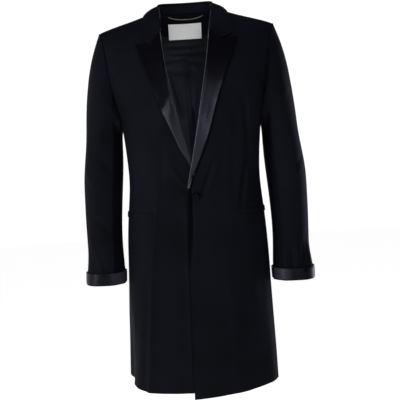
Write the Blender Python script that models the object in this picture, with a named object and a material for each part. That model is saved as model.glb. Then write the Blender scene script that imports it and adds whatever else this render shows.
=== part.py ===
"""A long single-button evening blazer, held in its worn shape with nobody in it.

Metres, +Z up. The coat faces -Y and the wearer's left is +X. The origin lies between the
shoulders, where a wearer's neck base would carry the coat. Every piece of cloth is a closed
wall. Pieces are worked out for one half, with x counted outwards from the centre, and then
laid on the wearer's left (side 1) or right (side -1).
"""
import math

import bmesh
import bpy
from mathutils import Vector

LEFT = 1
RIGHT = -1
SIDE_NAMES = {LEFT: "left", RIGHT: "right"}

# Cloth thicknesses and the gap left between sewn pieces.
WOOL_WALL = 0.0018
SATIN_WALL = 0.0015
LINING_WALL = 0.0010
LABEL_WALL = 0.0010
SEAM_GAP = 0.0003
LYING_GAP = 0.0009
COLLAR_GAP = 0.0019
ROLL_GAP = 0.0012
GORGE_GAP = 0.0006

# Levels of the cut.
CHEST_Z = -0.235
BREAK_Z = -0.418
GORGE_Z = -0.034
HEM_Z = -0.893
HEM_FRONT_Z = -0.904
LEFT_TIP_DROP = 0.016
SIDE_DIP = 0.020
SHOULDER_POINT_X = 0.217
LAP_THICKNESS = 0.0027
ROLL_LAP_THICKNESS = 0.0062
TORSO_FOLD_RADIUS = 0.150
SLEEVE_FOLD_RADIUS = 0.055
NECK_HALF_WIDTH = 0.078
NECK_BACK_DEPTH = 0.083
BUTTON_Z = -0.433
BUTTON_X = 0.001
BUTTON_DIAMETER = 0.020
BUTTON_THICKNESS = 0.0045
POCKET_Z = -0.475
POCKET_HEIGHT = 0.0115
POCKET_START_X = 0.108
POCKET_END_ANGLE = 96.0
POCKET_SPANS = 11
POCKET_GAP = 0.0006
# share of the pocket's height, thickness of its jets there
POCKET_JETS = (
    (-0.50, 0.0010),
    (-0.42, 0.0014),
    (-0.08, 0.0014),
    (0.00, 0.0010),
    (0.08, 0.0014),
    (0.42, 0.0014),
    (0.50, 0.0010),
)
CUFF_BAND_HEIGHT = 0.027
CUFF_BAND_LIFT = 0.003
LABEL_WIDTH = 0.087
LABEL_HEIGHT = 0.039
LABEL_CENTRE = (-0.0034, -0.0085)
LABEL_GAP = 0.0006
LABEL_ROWS = 4
LABEL_COLUMNS = 10
LOOP_DIAMETER = 0.0024
LOOP_HALF_WIDTH = 0.047
LOOP_MIDDLE_Z = 0.0268
LOOP_RISE = 0.0052
LOOP_STAND_OFF = 0.0070
LOOP_END_SEAT = 0.0027
LOOP_POINTS = 15

# Columns and rows of the panels' cloth grids.
FRONT_COLUMNS = 12
SIDE_COLUMNS = 5
BACK_COLUMNS = 10
SHOULDER_COLUMN = 5
SKIRT_ROWS = 11
WAIST_ROWS = 5
YOKE_ROWS = 8

# height, half width, front depth, back depth of the body of the coat
TORSO = (
    (-0.930, 0.1905, 0.142, 0.160),
    (-0.860, 0.1880, 0.139, 0.156),
    (-0.740, 0.1840, 0.133, 0.147),
    (-0.620, 0.1800, 0.126, 0.137),
    (-0.535, 0.1770, 0.118, 0.126),
    (-0.455, 0.1705, 0.109, 0.110),
    (-0.395, 0.1652, 0.107, 0.101),
    (-0.310, 0.1695, 0.117, 0.110),
    (-0.235, 0.1770, 0.125, 0.122),
    (-0.200, 0.1790, 0.125, 0.122),
)
FRONT_SQUARENESS = 3.0
BACK_SQUARENESS = 2.6

# degrees of rise from the chest line to the shoulder ridge, half width the section aims for
YOKE = (
    (0.0, 0.1770),
    (15.0, 0.1990),
    (30.0, 0.2100),
    (50.0, 0.2180),
    (70.0, 0.2280),
    (90.0, 0.2350),
)
FRONT_YOKE_POWER = 2.1
NAPE_POWER = 4.0
SHOULDER_POWER = 2.4

# distance from the centre, height of the shoulder ridge
SHOULDER_RIDGE = (
    (0.000, 0.0520),
    (0.040, 0.0420),
    (0.078, 0.0300),
    (0.096, 0.0239),
    (0.134, 0.0111),
    (0.171, 0.0009),
    (0.207, -0.0106),
    (0.235, -0.0230),
)

# height, front armhole line, back armhole line, as distances from the centre
ARMHOLE = (
    (-0.235, 0.1716, 0.1702),
    (-0.180, 0.1860, 0.1800),
    (-0.130, 0.1955, 0.1890),
    (-0.080, 0.2015, 0.1970),
    (-0.045, 0.2070, 0.2050),
    (-0.015, 0.2170, 0.2170),
)

# height, angle of the front seam, angle of the back seam, in degrees round from the front
SIDE_SEAMS = (
    (-0.930, 70.0, 110.0),
    (-0.650, 71.0, 112.0),
    (-0.400, 74.0, 113.0),
    (-0.235, 72.0, 108.0),
)

# height, left front's edge and roll line, right front's edge and roll line
FRONT_EDGE = (
    (-0.930, -0.0255, -0.0255),
    (-0.600, -0.0220, -0.0220),
    (-0.450, -0.0190, -0.0200),
    (-0.418, -0.0168, -0.0107),
    (-0.348, -0.0032, 0.0068),
    (-0.276, 0.0103, 0.0240),
    (-0.181, 0.0303, 0.0420),
    (-0.108, 0.0447, 0.0545),
    (-0.034, 0.0550, 0.0630),
    (0.000, 0.0630, 0.0680),
    (0.0300, 0.0780, 0.0780),
)

# height, left lapel's outer edge, right lapel's outer edge
LAPEL_EDGE = (
    (-0.4180, -0.0130, -0.0060),
    (-0.3900, -0.0042, -0.0010),
    (-0.3560, 0.0130, 0.0105),
    (-0.3150, 0.0298, 0.0310),
    (-0.2680, 0.0473, 0.0495),
    (-0.2190, 0.0632, 0.0675),
    (-0.1580, 0.0861, 0.0870),
    (-0.1067, 0.1019, 0.1060),
    (-0.0797, 0.1113, 0.1155),
    (-0.0518, 0.1210, 0.1250),
)

# side: notch, peak tip and collar corner, each as distance from the centre and height
NOTCH = {LEFT: (0.0840, -0.0580), RIGHT: (0.0898, -0.0614)}
PEAK = {LEFT: (0.1210, -0.0518), RIGHT: (0.1225, -0.0587)}
COLLAR_CORNER = {LEFT: (0.1106, -0.0435), RIGHT: (0.1050, -0.0530)}

# share of the way from gorge to centre back; the collar's fold line x, y, z; its edge x, y
COLLAR = (
    (0.00, 0.0550, -0.0820, -0.0340, 0.1090, -0.0760),
    (0.10, 0.0590, -0.0690, -0.0110, 0.1070, -0.0640),
    (0.22, 0.0635, -0.0500, 0.0140, 0.1040, -0.0440),
    (0.38, 0.0675, -0.0100, 0.0400, 0.1030, -0.0080),
    (0.52, 0.0665, 0.0260, 0.0510, 0.0990, 0.0340),
    (0.68, 0.0560, 0.0570, 0.0570, 0.0830, 0.0720),
    (0.84, 0.0310, 0.0750, 0.0595, 0.0470, 0.0958),
    (0.92, 0.0155, 0.0787, 0.0599, 0.0230, 0.0988),
    (1.00, 0.0000, 0.0800, 0.0600, 0.0000, 0.0995),
)
COLLAR_FOLD_RADIUS = 0.0028
COLLAR_BULGE = 0.004
COLLAR_STATIONS = 11
STAND_START = 0.27
STAND_GAP = 0.0015
STAND_TUCK = 0.0012

# height, inner x, outer x, centre y, half depth of a sleeve
SLEEVE = (
    (-0.665, 0.1850, 0.2795, -0.0350, 0.0485),
    (-0.648, 0.1850, 0.2790, -0.0340, 0.0490),
    (-0.610, 0.1862, 0.2768, -0.0300, 0.0510),
    (-0.575, 0.1886, 0.2752, -0.0250, 0.0535),
    (-0.535, 0.1902, 0.2757, -0.0190, 0.0560),
    (-0.490, 0.1890, 0.2770, -0.0120, 0.0590),
    (-0.450, 0.1868, 0.2782, -0.0060, 0.0615),
    (-0.410, 0.1838, 0.2792, 0.0000, 0.0640),
    (-0.370, 0.1808, 0.2775, 0.0040, 0.0660),
    (-0.330, 0.1785, 0.2740, 0.0060, 0.0680),
    (-0.285, 0.1775, 0.2695, 0.0060, 0.0710),
    (-0.240, 0.1775, 0.2650, 0.0060, 0.0720),
)
SLEEVE_HEAD_Z = -0.285
SLEEVE_END = {LEFT: -0.654, RIGHT: -0.645}
SLEEVE_SQUARENESS = 2.2
SLEEVE_HEAD_ROWS = 6
SLEEVE_ARM_ROWS = 10

# degrees round the armhole from its top, by the front; the way the sleeve sets off there
SLEEVE_START = (
    (0.0, 0.40, 0.00, -0.92),
    (50.0, 0.46, -0.34, -0.82),
    (90.0, 0.50, -0.46, -0.74),
    (135.0, 0.28, -0.30, -0.91),
    (180.0, 0.08, 0.00, -1.00),
    (225.0, 0.28, 0.30, -0.91),
    (270.0, 0.50, 0.44, -0.75),
    (310.0, 0.46, 0.34, -0.82),
    (360.0, 0.40, 0.00, -0.92),
)

# side, angle and height at the top, angle and height at the foot, half width, how far it
# stands out: negative rows are troughs
TORSO_FOLDS = (
    (RIGHT, 41.0, -0.27, 46.0, -0.95, 0.013, 0.0035),
    (RIGHT, 20.0, -0.385, 35.0, -0.325, 0.012, 0.0035),
    (RIGHT, 62.0, -0.640, 80.0, -0.96, 0.022, -0.0150),
    (RIGHT, 97.0, -0.560, 101.0, -0.96, 0.024, 0.0060),
    (RIGHT, 60.0, -0.290, 55.0, -0.42, 0.014, -0.0030),
    (RIGHT, 132.0, -0.460, 128.0, -0.96, 0.024, -0.0070),
    (RIGHT, 152.0, -0.520, 150.0, -0.96, 0.026, 0.0050),
    (LEFT, 2.0, -0.415, 15.0, -0.330, 0.012, -0.0030),
    (LEFT, 22.0, -0.400, 36.0, -0.330, 0.014, 0.0025),
    (LEFT, 43.0, -0.300, 45.0, -0.60, 0.016, 0.0030),
    (LEFT, 54.0, -0.620, 50.0, -0.96, 0.016, -0.0050),
    (LEFT, 61.0, -0.680, 66.0, -0.96, 0.014, 0.0050),
    (LEFT, 86.0, -0.600, 84.0, -0.96, 0.022, -0.0060),
    (LEFT, 60.0, -0.290, 56.0, -0.43, 0.014, -0.0030),
    (LEFT, 128.0, -0.480, 131.0, -0.96, 0.024, -0.0060),
    (LEFT, 148.0, -0.560, 151.0, -0.96, 0.028, 0.0060),
    (LEFT, 140.0, -0.340, 158.0, -0.42, 0.016, -0.0030),
    (RIGHT, 142.0, -0.350, 160.0, -0.43, 0.016, -0.0030),
)

# side, degrees round the sleeve and height at each end, half width, how far it stands out
SLEEVE_FOLDS = (
    (LEFT, 60.0, -0.290, 140.0, -0.345, 0.014, -0.0040),
    (LEFT, 100.0, -0.385, 170.0, -0.420, 0.013, -0.0035),
    (LEFT, 70.0, -0.300, 62.0, -0.560, 0.018, 0.0030),
    (LEFT, 48.0, -0.540, 56.0, -0.625, 0.009, -0.0035),
    (LEFT, 74.0, -0.550, 72.0, -0.625, 0.009, 0.0030),
    (LEFT, 96.0, -0.545, 90.0, -0.625, 0.009, -0.0035),
    (LEFT, 120.0, -0.540, 116.0, -0.625, 0.009, 0.0030),
    (LEFT, 280.0, -0.330, 215.0, -0.385, 0.016, -0.0040),
    (LEFT, 295.0, -0.420, 235.0, -0.470, 0.014, -0.0030),
    (RIGHT, 55.0, -0.300, 140.0, -0.360, 0.014, -0.0040),
    (RIGHT, 105.0, -0.400, 168.0, -0.440, 0.013, -0.0035),
    (RIGHT, 62.0, -0.280, 75.0, -0.520, 0.018, 0.0030),
    (RIGHT, 82.0, -0.520, 70.0, -0.620, 0.012, -0.0030),
    (RIGHT, 285.0, -0.320, 218.0, -0.370, 0.016, -0.0040),
    (RIGHT, 298.0, -0.430, 240.0, -0.480, 0.014, -0.0030),
)

# height, how far the worn coat has slipped towards the wearer's right
DRIFT = (
    (-0.95, 0.0025),
    (-0.45, 0.0030),
    (-0.30, 0.0040),
    (-0.15, 0.0065),
    (0.10, 0.0065),
)
SHOULDER_TILT = 0.014

# name: base colour, roughness
FINISHES = {
    "black_wool_barathea": ((0.0100, 0.0110, 0.0160, 1.0), 0.85),
    "black_silk_satin": ((0.0120, 0.0125, 0.0170, 1.0), 0.35),
    "navy_lining_satin": ((0.0120, 0.0150, 0.0300, 1.0), 0.45),
    "white_woven_ribbon": ((0.7800, 0.7800, 0.7600, 1.0), 0.70),
    "olive_gold_braid": ((0.3000, 0.2600, 0.1000, 1.0), 0.55),
}


def curve(rows, column):
    """A smooth curve that never overshoots, through one column of a table."""
    keys = [row[0] for row in rows]
    values = [row[column] for row in rows]
    rises = [(values[i + 1] - values[i]) / (keys[i + 1] - keys[i]) for i in range(len(keys) - 1)]
    slopes = [rises[0]]
    for before, after in zip(rises, rises[1:]):
        same_way = before * after > 0.0
        slopes.append(2.0 * before * after / (before + after) if same_way else 0.0)
    slopes.append(rises[-1])

    def at(key):
        key = min(max(key, keys[0]), keys[-1])
        i = 0
        while i < len(keys) - 2 and key > keys[i + 1]:
            i += 1
        span = keys[i + 1] - keys[i]
        t = (key - keys[i]) / span
        start = (1 + 2 * t) * (1 - t) ** 2 * values[i] + t * (1 - t) ** 2 * span * slopes[i]
        end = t * t * (3 - 2 * t) * values[i + 1] + t * t * (t - 1) * span * slopes[i + 1]
        return start + end

    return at


half_width_at = curve(TORSO, 1)
front_depth_at = curve(TORSO, 2)
back_depth_at = curve(TORSO, 3)
yoke_width_at = curve(YOKE, 1)
ridge_at = curve(SHOULDER_RIDGE, 1)
front_armhole_at = curve(ARMHOLE, 1)
back_armhole_at = curve(ARMHOLE, 2)
front_seam_at = curve(SIDE_SEAMS, 1)
back_seam_at = curve(SIDE_SEAMS, 2)
drift_at = curve(DRIFT, 1)
roll_line_at = {LEFT: curve(FRONT_EDGE, 1), RIGHT: curve(FRONT_EDGE, 2)}
lapel_edge_at = {LEFT: curve(LAPEL_EDGE, 1), RIGHT: curve(LAPEL_EDGE, 2)}
sleeve_inner_at = curve(SLEEVE, 1)
sleeve_outer_at = curve(SLEEVE, 2)
sleeve_centre_at = curve(SLEEVE, 3)
sleeve_depth_at = curve(SLEEVE, 4)
sleeve_start_at = [curve(SLEEVE_START, column) for column in (1, 2, 3)]
collar_fold_at = [curve(COLLAR, column) for column in (1, 2, 3)]
collar_edge_at = [curve(COLLAR, column) for column in (4, 5)]


def ramp(value, start, end):
    """0 at start and 1 at end, with soft ends."""
    t = min(max((value - start) / (end - start), 0.0), 1.0)
    return t * t * (3.0 - 2.0 * t)


def mix(a, b, share):
    return a * (1.0 - share) + b * share


def fold_height(rows, side, angle, height, radius):
    """What the folds in a table add at one spot of a tube of cloth."""
    total = 0.0
    here = Vector((math.radians(angle) * radius, height))
    for fold_side, top_angle, top, foot_angle, foot, width, stand in rows:
        if fold_side != side:
            continue
        start = Vector((math.radians(top_angle) * radius, top))
        run = Vector((math.radians(foot_angle) * radius, foot)) - start
        share = (here - start).dot(run) / run.length_squared
        inside = min(max(share, 0.0), 1.0)
        away = (here - start - run * inside).length / width
        fade = math.sin(math.pi * min(max(share, 0.0), 1.0) ** 0.7) if foot > -0.9 else ramp(share, 0.0, 0.6)
        total += stand * fade * math.exp(-away * away)
    return total


# The body of the coat

def section(angle, level):
    """Half width, depth and squareness of the section that an angle and a level lie on."""
    is_front = abs(angle) < 90.0
    squareness = FRONT_SQUARENESS if is_front else BACK_SQUARENESS
    height = CHEST_Z + min(level, 0.0)
    depth = front_depth_at(height) if is_front else back_depth_at(height)
    half_width = half_width_at(height) if level <= 0.0 else yoke_width_at(90.0 * level)
    return half_width, depth, squareness


def yoke_power(angle, x):
    """How boxy the side view of the yoke is: square at the nape and rounder at the armhole."""
    if abs(angle) < 90.0:
        return FRONT_YOKE_POWER
    return mix(NAPE_POWER, SHOULDER_POWER, ramp(abs(x), 0.03, 0.16))


def lap(side, x, height):
    """How far the left front stands out where it passes over the right front."""
    if side != LEFT:
        return 0.0
    thickness = mix(LAP_THICKNESS, ROLL_LAP_THICKNESS, ramp(height, -0.46, -0.41) * ramp(height, -0.18, -0.30))
    return thickness * ramp(x, 0.085, 0.030) * ramp(height, -0.10, -0.25)


def torso(side, angle, level):
    """A point of the coat's outer skin.

    angle goes round in degrees from the centre front. level is metres under the chest line
    when negative, and the share of the rise to the shoulder ridge when positive.
    """
    half_width, depth, squareness = section(angle, level)
    turn = math.radians(angle)
    across = abs(math.sin(turn)) / half_width
    along = abs(math.cos(turn)) / depth
    reach = (across ** squareness + along ** squareness) ** (-1.0 / squareness)
    x = reach * math.sin(turn)
    run = 1.0
    height = CHEST_Z + level
    if level > 0.0:
        power = yoke_power(angle, x)
        rise = math.sin(math.radians(90.0 * level)) ** (2.0 / power)
        run = max(math.cos(math.radians(90.0 * level)), 0.0) ** (2.0 / power)
        height = CHEST_Z + (ridge_at(abs(x)) - CHEST_Z) * rise
    folded_angle = angle if angle <= 180.0 else 360.0 - angle
    reach += fold_height(TORSO_FOLDS, side, folded_angle, height, TORSO_FOLD_RADIUS)
    if abs(angle) < 90.0:
        reach += lap(side, x, height)
    return Vector((reach * math.sin(turn), -reach * math.cos(turn) * run, height))


def surface_normal(surface, u, v, step_u, step_v):
    """Outward normal of a surface(u, v) whose u goes round and v goes up."""
    along_u = surface(u + step_u, v) - surface(u - step_u, v)
    along_v = surface(u, v + step_v) - surface(u, v - step_v)
    return along_u.cross(along_v).normalized()


def torso_normal(side, angle, level):
    step = 0.002 if level <= 0.0 else min(0.004, 0.5 * (1.0 - level))
    return surface_normal(lambda u, v: torso(side, u, v), angle, level, 0.3, step)


def torso_spot(side, angle, level, out=0.0):
    """A point lifted off the skin, or sunk under it, by a distance."""
    return torso(side, angle, level) + torso_normal(side, angle, level) * out


def angle_at(is_front, level, x):
    """The angle at which a section passes a distance x from the centre."""
    half_width, depth, squareness = section(0.0 if is_front else 180.0, level)
    share = min(abs(x) / half_width, 0.999)
    y = depth * (1.0 - share ** squareness) ** (1.0 / squareness)
    turn = math.degrees(math.atan2(x, y))
    return turn if is_front else 180.0 - turn


def yoke_height(angle, x, level):
    rise = math.sin(math.radians(90.0 * level)) ** (2.0 / yoke_power(angle, x))
    return CHEST_Z + (ridge_at(abs(x)) - CHEST_Z) * rise


def yoke_angle(is_front, level, line):
    """The angle where a line, given as distance by height, crosses a yoke level."""
    facing = 0.0 if is_front else 180.0
    height = CHEST_Z + 0.2 * level
    for _ in range(8):
        height = yoke_height(facing, line(height), level)
    return angle_at(is_front, level, line(height))


def level_before_ridge(is_front, x, y):
    """The yoke level whose cloth lies a distance y in front of, or behind, the ridge."""
    angle = angle_at(is_front, 0.95, x)
    half_width, depth, squareness = section(angle, 0.95)
    power = yoke_power(angle, x)
    run = min(y / (depth * (1.0 - (abs(x) / half_width) ** squareness) ** (1.0 / squareness)), 1.0)
    return math.acos(run ** (power / 2.0)) / math.radians(90.0)


def skin_at(side, x, height):
    """Angle and level of the front skin at a distance from the centre and a height."""
    if height <= CHEST_Z:
        level = height - CHEST_Z
        return angle_at(True, level, x), level
    rise = min((height - CHEST_Z) / (ridge_at(abs(x)) - CHEST_Z), 0.9995)
    level = math.asin(rise ** (FRONT_YOKE_POWER / 2.0)) / math.radians(90.0)
    return angle_at(True, level, x), level


def back_skin_at(x, height):
    """Angle and level of the back skin at a distance from the centre and a height."""
    power = yoke_power(180.0, x)
    rise = min((height - CHEST_Z) / (ridge_at(abs(x)) - CHEST_Z), 0.9995)
    level = math.asin(rise ** (power / 2.0)) / math.radians(90.0)
    return angle_at(False, level, x), level


def hem_level(side, angle):
    """The hem: level, with the overlapping left tip hanging a little lower."""
    front = mix(HEM_FRONT_Z, HEM_Z, ramp(angle, 40.0, 85.0))
    if side == LEFT:
        front -= LEFT_TIP_DROP * ramp(angle, 62.0, -20.0)
    return front - CHEST_Z


def skirt_shares():
    """Shares of the way from hem to chest line at which the panels have rows."""
    whole = HEM_Z - CHEST_Z
    at_break = 1.0 - (BREAK_Z - CHEST_Z) / whole
    low = [at_break * i / SKIRT_ROWS for i in range(SKIRT_ROWS)]
    high = [mix(at_break, 1.0, i / WAIST_ROWS) for i in range(WAIST_ROWS + 1)]
    return low + high


SKIRT_SHARES = skirt_shares()
HALF_SEAM = SEAM_GAP / 2.0
SEAM_DEGREES = math.degrees(HALF_SEAM / 0.16)


def skirt_level(side, angle, share, top=0.0):
    return mix(hem_level(side, angle), top, share)


# The lapel's roll

def roll_height(height):
    """How far the lapel's cloth lies above the front's, measured at the fold between them."""
    lying = WOOL_WALL / 2.0 + SATIN_WALL / 2.0 + LYING_GAP
    return lying + mix(0.0004, 0.0040, ramp(height, BREAK_Z, -0.20))


def roll_inset(height):
    """How far the front's own edge stays behind the visible fold."""
    return roll_height(height) / 2.0 + SATIN_WALL / 2.0


def front_edge(side):
    """The front's own edge by height: the closure, then behind the roll, then the neck."""
    def line(height):
        rolled = ramp(height, BREAK_Z - 0.02, BREAK_Z) * ramp(height, 0.0, GORGE_Z)
        return roll_line_at[side](height) + roll_inset(height) * rolled
    return line


# Panels of the body

def panel_skin(side, spots):
    """Outer and inner points of a wool panel from its angles and levels."""
    outer = [[torso_spot(side, angle, level) for angle, level in row] for row in spots]
    inner = [[torso_spot(side, angle, level, -WOOL_WALL) for angle, level in row] for row in spots]
    return outer, inner


def front_spots(side):
    rows = []
    edge = front_edge(side)
    for share in SKIRT_SHARES:
        height = CHEST_Z + skirt_level(side, 0.0, share)
        level = height - CHEST_Z
        start = angle_at(True, level, edge(height))
        end = front_seam_at(height) - SEAM_DEGREES
        row = []
        for j in range(FRONT_COLUMNS):
            angle = mix(start, end, j / (FRONT_COLUMNS - 1))
            row.append((angle, skirt_level(side, angle, share)))
        rows.append(row)
    neck_top = level_before_ridge(True, NECK_HALF_WIDTH, HALF_SEAM)
    for i in range(1, YOKE_ROWS + 1):
        level = neck_top * i / YOKE_ROWS
        start = yoke_angle(True, level, edge)
        end = yoke_angle(True, level, front_armhole_at)
        row = [(mix(start, end, j / (FRONT_COLUMNS - 1)), level) for j in range(FRONT_COLUMNS)]
        rows.append(row)
    return rows


def side_spots(side):
    rows = []
    for share in SKIRT_SHARES:
        height = CHEST_Z + skirt_level(side, 90.0, share)
        start = front_seam_at(height) + SEAM_DEGREES
        end = back_seam_at(height) - SEAM_DEGREES
        row = []
        for j in range(SIDE_COLUMNS):
            across = j / (SIDE_COLUMNS - 1)
            top = -SIDE_DIP * (1.0 - (2.0 * across - 1.0) ** 2)
            angle = mix(start, end, across)
            row.append((angle, skirt_level(side, angle, share, top)))
        rows.append(row)
    return rows


def neckline_spot(turn):
    """A spot of the back neck seam; turn goes from the shoulder seam, 0, to the nape, 90."""
    x = NECK_HALF_WIDTH * math.cos(math.radians(turn))
    y = max(NECK_BACK_DEPTH * math.sin(math.radians(turn)), HALF_SEAM)
    level = level_before_ridge(False, x, y)
    return angle_at(False, level, x), level


def back_top_spot(column):
    """A spot of the back's top edge: shoulder seam, then neckline."""
    if column <= SHOULDER_COLUMN:
        shoulder_x = front_armhole_at(ridge_at(SHOULDER_POINT_X))
        x = mix(shoulder_x, NECK_HALF_WIDTH, column / SHOULDER_COLUMN)
        level = level_before_ridge(False, x, HALF_SEAM)
        return angle_at(False, level, x), level
    last = BACK_COLUMNS - 1
    return neckline_spot(90.0 * (column - SHOULDER_COLUMN) / (last - SHOULDER_COLUMN))


def back_spots(side):
    rows = []
    last = BACK_COLUMNS - 1
    centre = 180.0 - SEAM_DEGREES
    for share in SKIRT_SHARES:
        height = CHEST_Z + skirt_level(side, 180.0, share)
        start = back_seam_at(height) + SEAM_DEGREES
        row = []
        for j in range(BACK_COLUMNS):
            angle = mix(start, centre, j / last)
            row.append((angle, skirt_level(side, angle, share)))
        rows.append(row)
    foot = [angle for angle, _ in rows[-1]]
    head = [back_top_spot(j) for j in range(BACK_COLUMNS)]
    for i in range(1, YOKE_ROWS + 1):
        share = i / YOKE_ROWS
        armhole = yoke_angle(False, share * head[0][1], back_armhole_at)
        bend = armhole - mix(foot[0], head[0][0], share)
        row = []
        for j in range(BACK_COLUMNS):
            angle = mix(foot[j], min(head[j][0], centre), share) + bend * (1.0 - j / last)
            row.append((angle, share * head[j][1]))
        rows.append(row)
    return rows


# Sleeves

def armhole_loop(side):
    """Spots of the armhole from the shoulder point down the front and up the back."""
    front = [row[-1] for row in front_spots(side)[-YOKE_ROWS:]]
    under = side_spots(side)[-1]
    back = [row[0] for row in back_spots(side)[-YOKE_ROWS:]]
    loop = []
    for angle, level in reversed(front):
        loop.append((angle, level, "front"))
    loop.append((front_seam_at(CHEST_Z), 0.0, "corner_front"))
    for angle, level in under[1:-1]:
        loop.append((angle, level, "under"))
    loop.append((back_seam_at(CHEST_Z), 0.0, "corner_back"))
    for angle, level in back[:-1]:
        loop.append((angle, level, "back"))
    return loop


def loop_turns(points):
    """Degrees round the armhole for each point: 0 on top, 180 at the bottom."""
    bottom = min(range(len(points)), key=lambda i: points[i].z)
    lengths = [0.0]
    for i in range(len(points)):
        lengths.append(lengths[-1] + (points[(i + 1) % len(points)] - points[i]).length)
    front, whole = lengths[bottom], lengths[-1]
    turns = []
    for i in range(len(points)):
        if i <= bottom:
            turns.append(180.0 * lengths[i] / front)
        else:
            turns.append(180.0 + 180.0 * (lengths[i] - front) / (whole - front))
    return turns


def armhole_frame(side):
    """For each point of the armhole: where the sleeve's mid cloth starts and its degrees."""
    loop = armhole_loop(side)
    points = [torso(side, angle, level) for angle, level, _ in loop]
    turns = loop_turns(points)
    starts = []
    for i, (angle, level, place) in enumerate(loop):
        normal = torso_normal(side, angle, level)
        along = (points[(i + 1) % len(points)] - points[i - 1]).normalized()
        away = normal.cross(along).normalized()
        hint = {"front": Vector((1, 1, 0)), "back": Vector((1, -1, 0))}.get(place, Vector((0, 0, 1)))
        if i == 0:
            hint = Vector((1, 0, 0))
        if away.dot(hint) < 0.0:
            away.negate()
        clear = WOOL_WALL / 2.0 + SEAM_GAP
        top = max(math.cos(math.radians(turns[i])), 0.0)
        starts.append(points[i] + normal * clear + away * clear * mix(0.3, 1.0, top))
    return starts, turns


def sleeve_ring(turn, height):
    """A point of the sleeve's mid cloth on a level ring."""
    inner = sleeve_inner_at(height) + WOOL_WALL / 2.0
    outer = sleeve_outer_at(height) - WOOL_WALL / 2.0
    half_width = (outer - inner) / 2.0
    depth = sleeve_depth_at(height) - WOOL_WALL / 2.0
    turned = math.radians(turn)
    across = abs(math.cos(turned)) / half_width
    along = abs(math.sin(turned)) / depth
    reach = (across ** SLEEVE_SQUARENESS + along ** SLEEVE_SQUARENESS) ** (-1.0 / SLEEVE_SQUARENESS)
    x = (inner + outer) / 2.0 + reach * math.cos(turned)
    y = sleeve_centre_at(height) - reach * math.sin(turned)
    return Vector((x, y, height))


class Sleeve:
    """The mid surface of one sleeve, from its armhole to its end."""

    def __init__(self, side):
        self.side = side
        self.starts, self.turns = armhole_frame(side)
        turns = self.turns + [360.0]
        starts = self.starts + [self.starts[0]]
        rows = [(turn, start.x, start.y, start.z) for turn, start in zip(turns, starts)]
        self.start_at = [curve(rows, column) for column in (1, 2, 3)]

    def point(self, turn, step):
        """step 0 is the armhole, 1 the top ring and 2 the sleeve's end."""
        turn %= 360.0
        if step < 1.0:
            middle = self.head_point(turn, step)
        else:
            height = mix(SLEEVE_HEAD_Z, SLEEVE_END[self.side], step - 1.0)
            middle = sleeve_ring(turn, height)
        fold = fold_height(SLEEVE_FOLDS, self.side, turn, middle.z, SLEEVE_FOLD_RADIUS)
        fold *= ramp(step, 0.4, 0.9)
        out = Vector((math.cos(math.radians(turn)), -math.sin(math.radians(turn)), 0.0))
        return middle + out * fold

    def head_point(self, turn, step):
        start = Vector([axis(turn) for axis in self.start_at])
        ring = sleeve_ring(turn, SLEEVE_HEAD_Z)
        below = sleeve_ring(turn, SLEEVE_HEAD_Z - 0.02)
        span = (ring - start).length
        leave = Vector([axis(turn) for axis in sleeve_start_at]).normalized() * span * 1.1
        arrive = (below - ring).normalized() * span
        t = step
        spot = start * ((1 + 2 * t) * (1 - t) ** 2) + leave * (t * (1 - t) ** 2)
        return spot + ring * (t * t * (3 - 2 * t)) + arrive * (t * t * (t - 1))

    def spot(self, turn, step, out):
        """A point at a distance outside the mid cloth."""
        low, high = max(step - 0.01, 0.0), min(step + 0.01, 2.0)
        around = self.point(turn - 1.5, step) - self.point(turn + 1.5, step)
        up = self.point(turn, low) - self.point(turn, high)
        return self.point(turn, step) + around.cross(up).normalized() * out


SLEEVE_STEPS = [i / SLEEVE_HEAD_ROWS for i in range(SLEEVE_HEAD_ROWS)]
SLEEVE_STEPS += [1.0 + i / SLEEVE_ARM_ROWS for i in range(SLEEVE_ARM_ROWS + 1)]
FRONT_ARM_SEAM = 125.0
BACK_ARM_SEAM = 255.0
CUFF_COLUMNS = 28
CUFF_FLARE = 0.0016


def sleeve_piece(sleeve, turns):
    outer, inner = [], []
    for step in SLEEVE_STEPS:
        outer.append([sleeve.spot(turn, step, WOOL_WALL / 2.0) for turn in turns])
        inner.append([sleeve.spot(turn, step, -WOOL_WALL / 2.0) for turn in turns])
    return outer, inner


def sleeve_turns(sleeve):
    """Columns of the upper and the under sleeve, split at the two arm seams."""
    seam = math.degrees(HALF_SEAM / SLEEVE_FOLD_RADIUS)
    front = min(sleeve.turns, key=lambda turn: abs(turn - FRONT_ARM_SEAM))
    back = min(sleeve.turns, key=lambda turn: abs(turn - BACK_ARM_SEAM))
    under = [turn for turn in sleeve.turns if front < turn < back]
    rear = [turn - 360.0 for turn in sleeve.turns if turn > back]
    fore = [turn for turn in sleeve.turns if turn < front]
    top = [back + seam - 360.0] + rear + fore + [front - seam]
    return top, [front + seam] + under + [back - seam]


def cuff_band(sleeve):
    """The turned-back satin band: flush at its foot and standing proud at its top."""
    end = SLEEVE_END[sleeve.side]
    whole = SLEEVE_HEAD_Z - end
    rows = []
    for share in (0.0, 0.5, 1.0):
        height = end + CUFF_BAND_LIFT + CUFF_BAND_HEIGHT * share
        step = 1.0 + (SLEEVE_HEAD_Z - height) / whole
        out = WOOL_WALL / 2.0 + LYING_GAP + CUFF_FLARE * share
        rows.append((step, out))
    turns = [360.0 * i / CUFF_COLUMNS for i in range(CUFF_COLUMNS)]
    inner = [[sleeve.spot(turn, step, out) for turn in turns] for step, out in rows]
    outer = [[sleeve.spot(turn, step, out + SATIN_WALL) for turn in turns] for step, out in rows]
    return outer, inner


# Lapels and collar

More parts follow.
